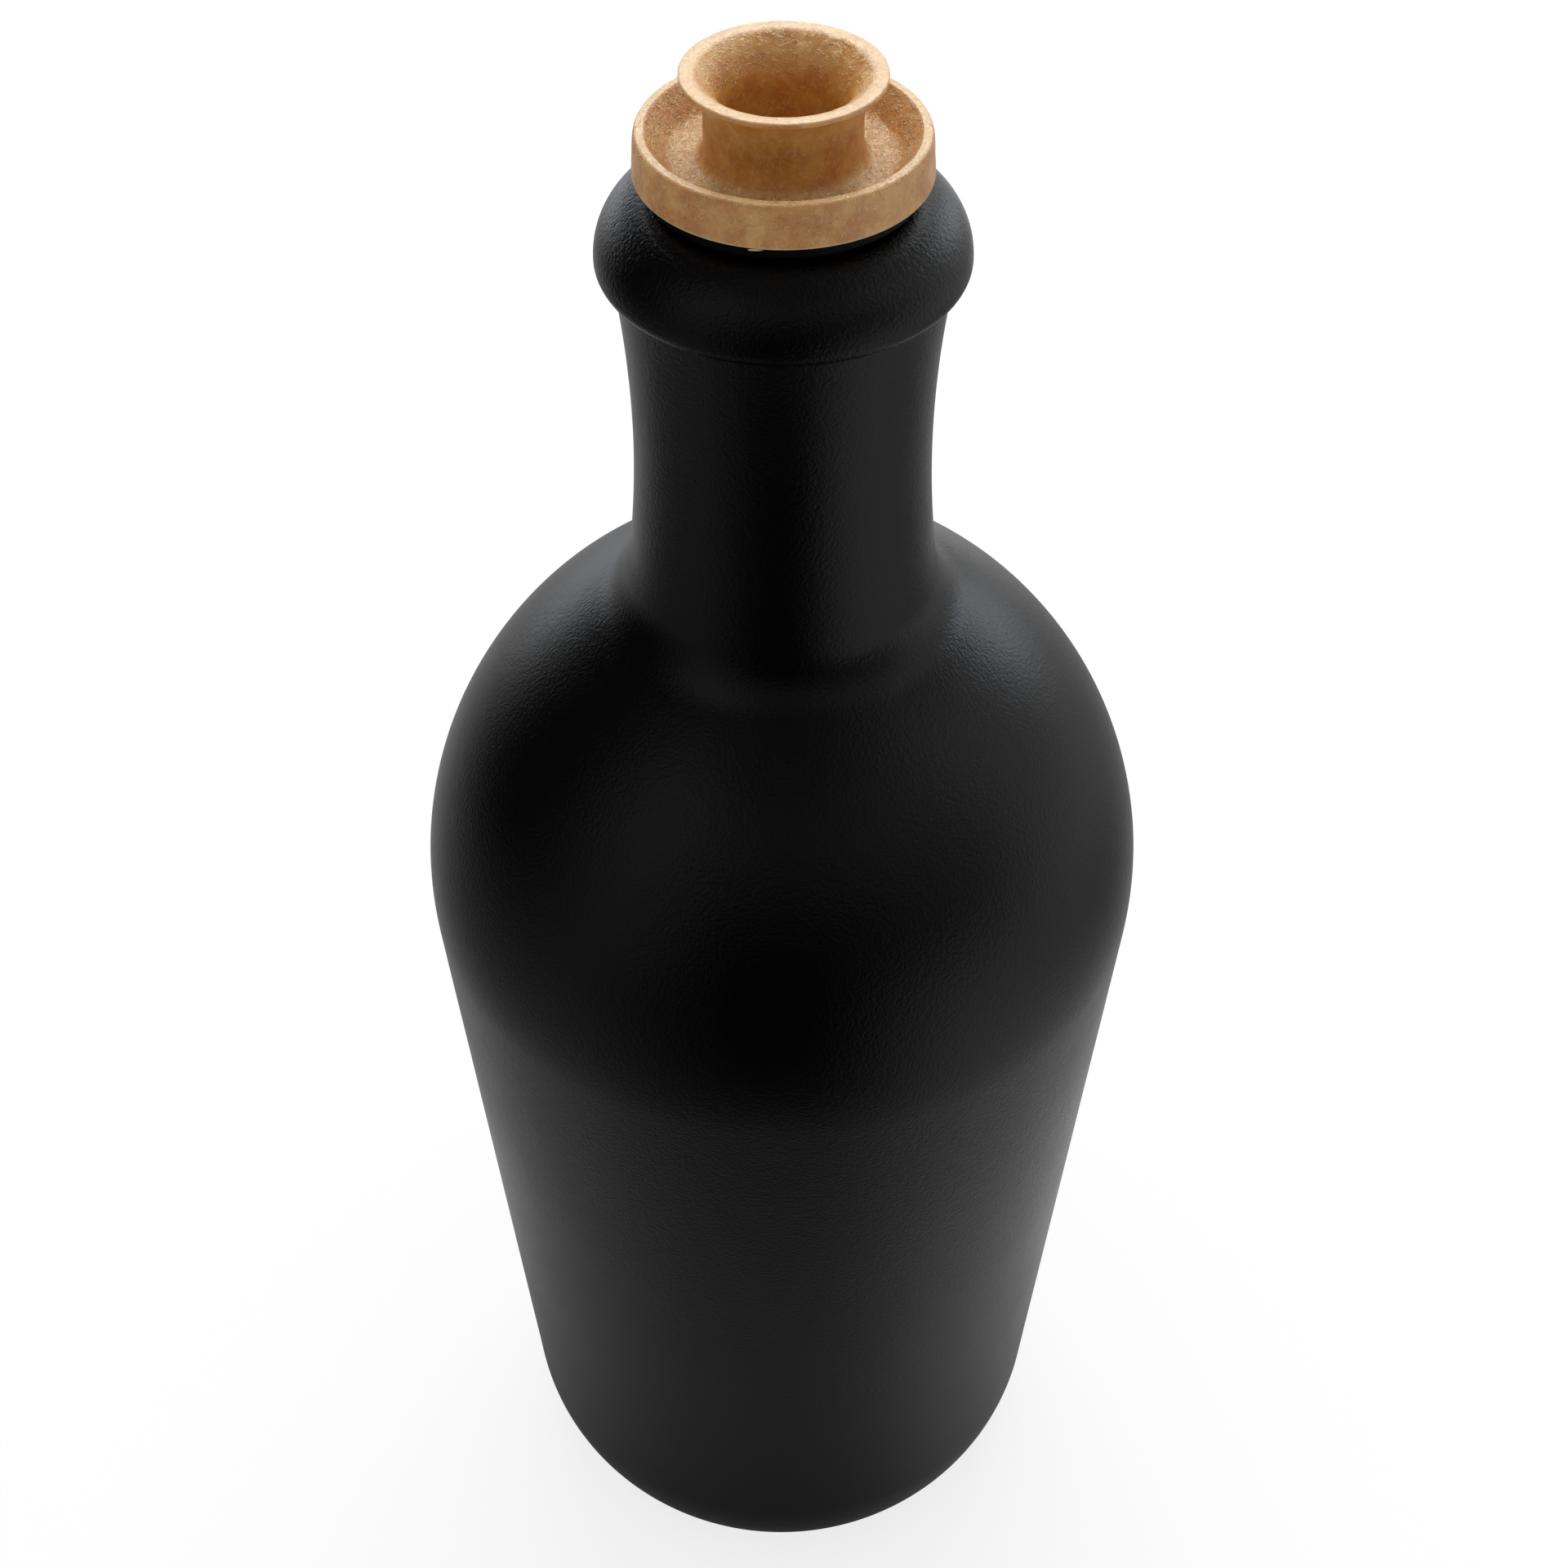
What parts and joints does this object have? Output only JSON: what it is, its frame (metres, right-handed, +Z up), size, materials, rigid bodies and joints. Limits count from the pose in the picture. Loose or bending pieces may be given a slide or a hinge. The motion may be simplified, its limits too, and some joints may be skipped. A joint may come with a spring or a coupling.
{
  "type": "stoneware oil bottle",
  "caption": "Tall tapered stoneware oil bottle with a rolled lip and a lift-out pourer: flared spout in a drip tray on a finned stopper.",
  "frame": {"origin": "centre of the foot ring, on the plane that the bottle stands on", "axes": "+Z up along the bottle's axis, towards the spout; -Y towards the viewer of the picture"},
  "size_m": [0.0922, 0.0922, 0.2308],
  "materials": {
    "black_stoneware_glaze": "near-black satin glaze with a fine orange-peel grain, bare at the foot ring",
    "black_rubber": "matt moulded rubber",
    "wood_fibre_tray": "moulded wood-fibre composite, tan with pale and dark flecks",
    "wood_fibre_spout": "moulded wood-fibre composite, tan with pale and dark flecks"
  },
  "bodies": {
    "bottle": {"bottle_body": "black_stoneware_glaze"},
    "pourer": {"finned_stopper": "black_rubber", "drip_tray": "wood_fibre_tray", "pour_spout": "wood_fibre_spout"}
  },
  "joints": [
    {"name": "pourer_lift", "type": "slide", "parent": "bottle", "child": "pourer", "axis": [0, 0, 1], "range_m": [0, 0.05]}
  ]
}
